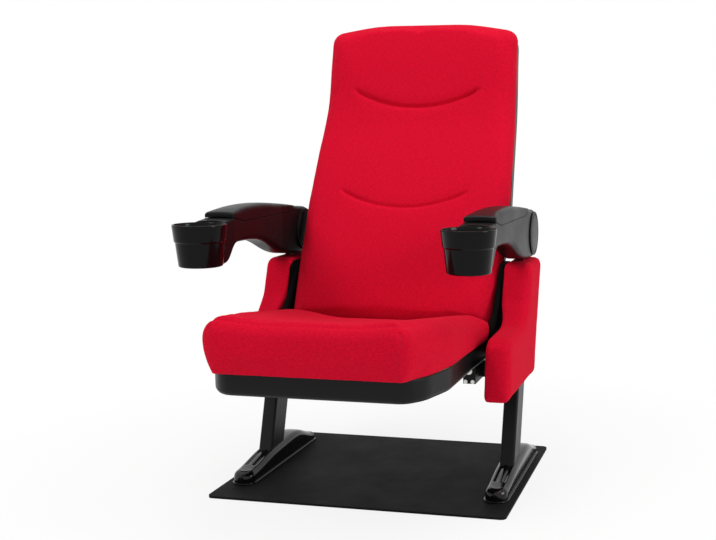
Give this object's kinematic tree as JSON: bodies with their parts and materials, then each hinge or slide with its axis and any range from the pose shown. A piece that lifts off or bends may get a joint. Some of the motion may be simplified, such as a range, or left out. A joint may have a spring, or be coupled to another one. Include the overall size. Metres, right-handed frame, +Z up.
{
  "type": "cinema recliner seat",
  "caption": "Upholstered cinema seat on two leaning posts and a floor plate; seat and back rock together, and both arms with their cup holders lift.",
  "frame": {"origin": "middle of the floor plate's underside", "axes": "+Z up, the seat faces -Y, +X to the right as seen from the front"},
  "size_m": [0.65, 0.871, 1.0118],
  "materials": {
    "floor_steel": "matt black powder coat",
    "black_steel": "satin black powder coat",
    "zinc_steel": "bright zinc plate",
    "foot_gloss": "gloss black",
    "arm_plastic": "satin-gloss black",
    "cup_plastic": "gloss black",
    "dark_plastic": "fine-grained matt black",
    "bush_plastic": "natural",
    "black_rubber": "moulded",
    "plywood": "raw plywood",
    "red_fabric": "woven red upholstery"
  },
  "bodies": {
    "stand": {"floor_plate": "floor_steel", "foot_plate_right": "black_steel", "foot_plate_left": "black_steel", "anchor_bolts_right": "zinc_steel", "anchor_bolts_left": "zinc_steel", "foot_cover_right": "foot_gloss", "foot_cover_left": "foot_gloss", "bolt_cap_right": "foot_gloss", "bolt_cap_left": "foot_gloss", "leg_post_right": "black_steel", "leg_post_left": "black_steel", "post_lug_right": "black_steel", "post_lug_left": "black_steel", "arm_bush_right": "bush_plastic", "arm_bush_left": "bush_plastic", "panel_pad_right": "red_fabric", "panel_pad_left": "red_fabric", "panel_core_right": "plywood", "panel_core_left": "plywood", "panel_liner_right": "dark_plastic", "panel_liner_left": "dark_plastic", "hinge_housing_right": "black_steel", "hinge_housing_left": "black_steel", "torsion_rubber_right": "black_rubber", "torsion_rubber_left": "black_rubber", "stop_bracket_right": "black_steel", "stop_bracket_left": "black_steel", "cross_beam": "black_steel", "bracket_bolts": "zinc_steel", "stop_buffers": "black_rubber", "beam_bolts": "zinc_steel", "housing_bolts": "zinc_steel"},
    "recliner": {"hinge_pins": "zinc_steel", "side_arm_right": "black_steel", "side_arm_left": "black_steel", "back_bar_right": "black_steel", "back_bar_left": "black_steel", "seat_pan": "dark_plastic", "seat_board": "plywood", "seat_bolts": "zinc_steel", "seat_cushion": "red_fabric", "back_board": "plywood", "back_cushion": "red_fabric", "back_shell": "dark_plastic", "back_screws": "zinc_steel"},
    "right_arm": {"arm_body_right": "arm_plastic", "arm_cover_right": "arm_plastic", "arm_pin_right": "zinc_steel", "arm_disc_outer_right": "arm_plastic", "arm_disc_inner_right": "arm_plastic", "cup_holder_right": "cup_plastic"},
    "left_arm": {"arm_body_left": "arm_plastic", "arm_cover_left": "arm_plastic", "arm_pin_left": "zinc_steel", "arm_disc_outer_left": "arm_plastic", "arm_disc_inner_left": "arm_plastic", "cup_holder_left": "cup_plastic"}
  },
  "joints": [
    {"name": "recline", "type": "hinge", "parent": "stand", "child": "recliner", "pos_m": [0, 0.068, 0.29], "axis": [-1, 0, 0], "range_deg": [0, 12], "stiffness_Nm_per_rad": 150, "springref_deg": -5.73},
    {"name": "right_arm_lift", "type": "hinge", "parent": "stand", "child": "right_arm", "pos_m": [0.28375, 0.14946, 0.54], "axis": [-1, 0, 0], "range_deg": [0, 90]},
    {"name": "left_arm_lift", "type": "hinge", "parent": "stand", "child": "left_arm", "pos_m": [-0.28375, 0.14946, 0.54], "axis": [-1, 0, 0], "range_deg": [0, 90]}
  ]
}
